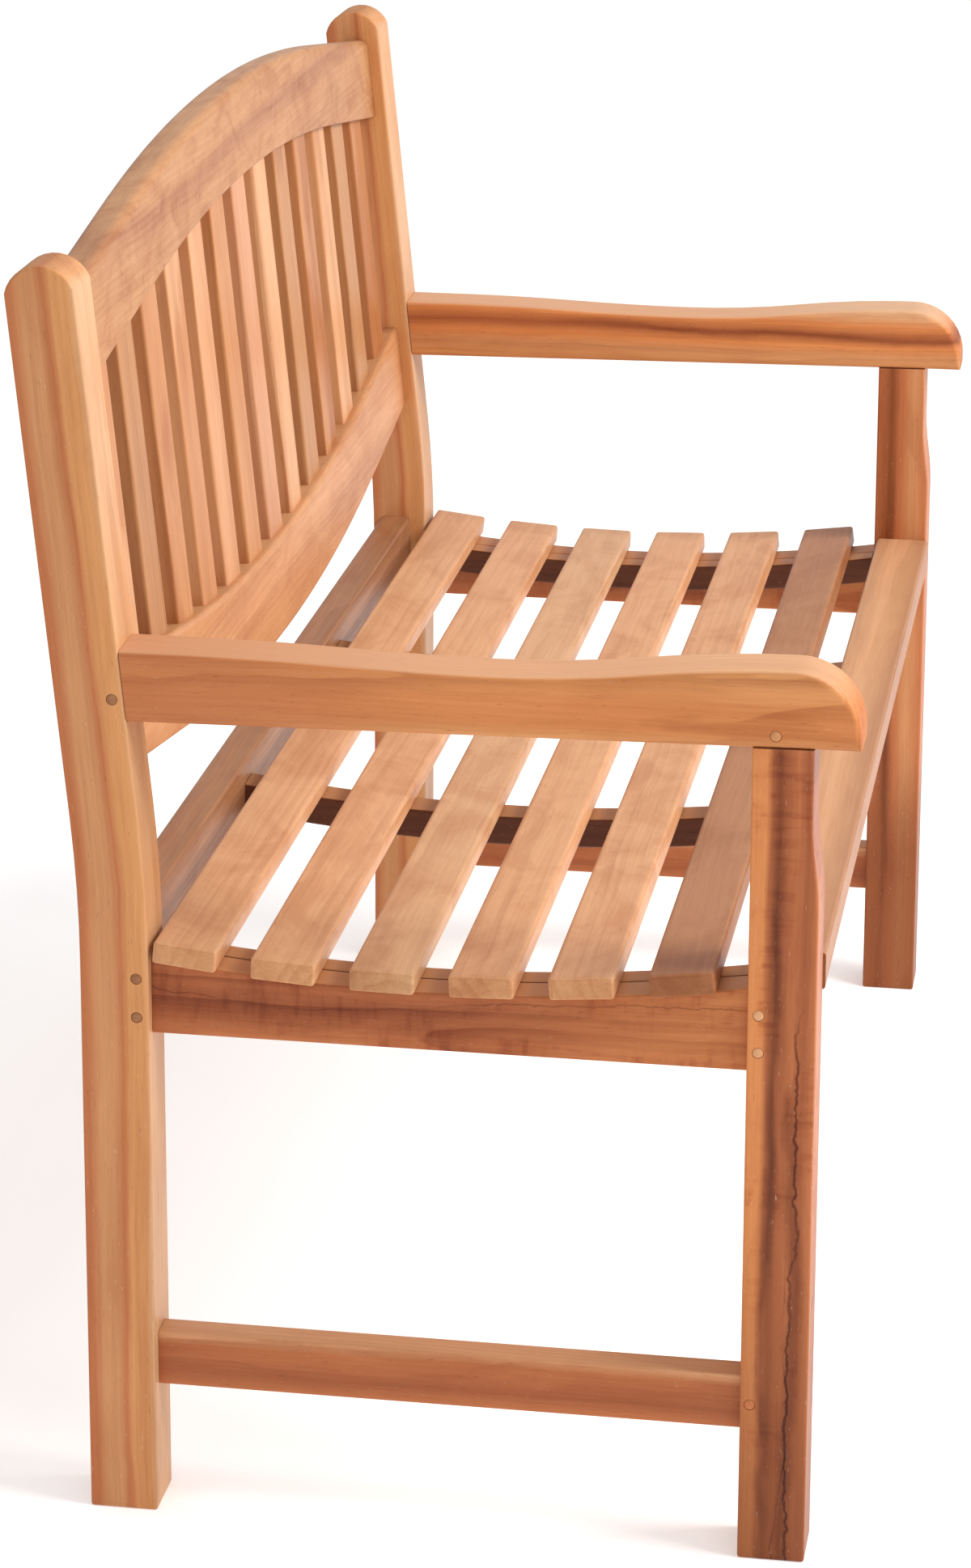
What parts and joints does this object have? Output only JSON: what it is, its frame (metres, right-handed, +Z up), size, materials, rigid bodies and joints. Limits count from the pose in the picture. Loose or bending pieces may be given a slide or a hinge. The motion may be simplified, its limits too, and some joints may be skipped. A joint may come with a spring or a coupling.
{
  "type": "garden bench",
  "caption": "Two-seat teak garden bench with a dished slatted seat, armrests with rounded noses and a leaning slatted back under an arched crest rail.",
  "frame": {"origin": "on the floor, under the centre of the bench's box", "axes": "+Z up; the length runs along X with the sitter's left at +X; a sitter faces -Y and the back leans towards +Y"},
  "size_m": [1.2, 0.6016, 0.9647],
  "materials": {
    "teak_pegs": "satin",
    "teak_rear_legs": "satin",
    "teak_front_legs": "satin",
    "teak_armrests": "satin",
    "teak_seat_slats": "satin",
    "teak_back_slats": "satin",
    "teak_back_rails": "satin",
    "teak_seat_frame": "satin"
  },
  "bodies": {
    "root": {"armrest_left": "teak_armrests", "armrest_right": "teak_armrests", "back_rail_crest": "teak_back_rails", "back_rail_lower": "teak_back_rails", "back_slat_01": "teak_back_slats", "back_slat_02": "teak_back_slats", "back_slat_03": "teak_back_slats", "back_slat_04": "teak_back_slats", "back_slat_05": "teak_back_slats", "back_slat_06": "teak_back_slats", "back_slat_07": "teak_back_slats", "back_slat_08": "teak_back_slats", "back_slat_09": "teak_back_slats", "back_slat_10": "teak_back_slats", "back_slat_11": "teak_back_slats", "back_slat_12": "teak_back_slats", "back_slat_13": "teak_back_slats", "front_leg_left": "teak_front_legs", "front_leg_right": "teak_front_legs", "peg_arm_front_left": "teak_pegs", "peg_arm_front_right": "teak_pegs", "peg_arm_rear_left": "teak_pegs", "peg_arm_rear_right": "teak_pegs", "peg_back_crest_left": "teak_pegs", "peg_back_crest_right": "teak_pegs", "peg_back_lower_left": "teak_pegs", "peg_back_lower_right": "teak_pegs", "peg_rail_front_lower_left": "teak_pegs", "peg_rail_front_lower_right": "teak_pegs", "peg_rail_front_upper_left": "teak_pegs", "peg_rail_front_upper_right": "teak_pegs", "peg_rail_rear_lower_left": "teak_pegs", "peg_rail_rear_lower_right": "teak_pegs", "peg_rail_rear_upper_left": "teak_pegs", "peg_rail_rear_upper_right": "teak_pegs", "peg_seat_rear_left": "teak_pegs", "peg_seat_rear_right": "teak_pegs", "peg_stretcher_front_left": "teak_pegs", "peg_stretcher_front_right": "teak_pegs", "rear_leg_left": "teak_rear_legs", "rear_leg_right": "teak_rear_legs", "seat_bearer_left": "teak_seat_frame", "seat_bearer_right": "teak_seat_frame", "seat_rail_front": "teak_seat_frame", "seat_rail_rear": "teak_seat_frame", "seat_slat_1": "teak_seat_slats", "seat_slat_2": "teak_seat_slats", "seat_slat_3": "teak_seat_slats", "seat_slat_4": "teak_seat_slats", "seat_slat_5": "teak_seat_slats", "seat_slat_6": "teak_seat_slats", "side_batten_left": "teak_seat_frame", "side_batten_right": "teak_seat_frame", "side_rail_left": "teak_seat_frame", "side_rail_right": "teak_seat_frame", "side_stretcher_left": "teak_seat_frame", "side_stretcher_right": "teak_seat_frame"}
  },
  "joints": []
}
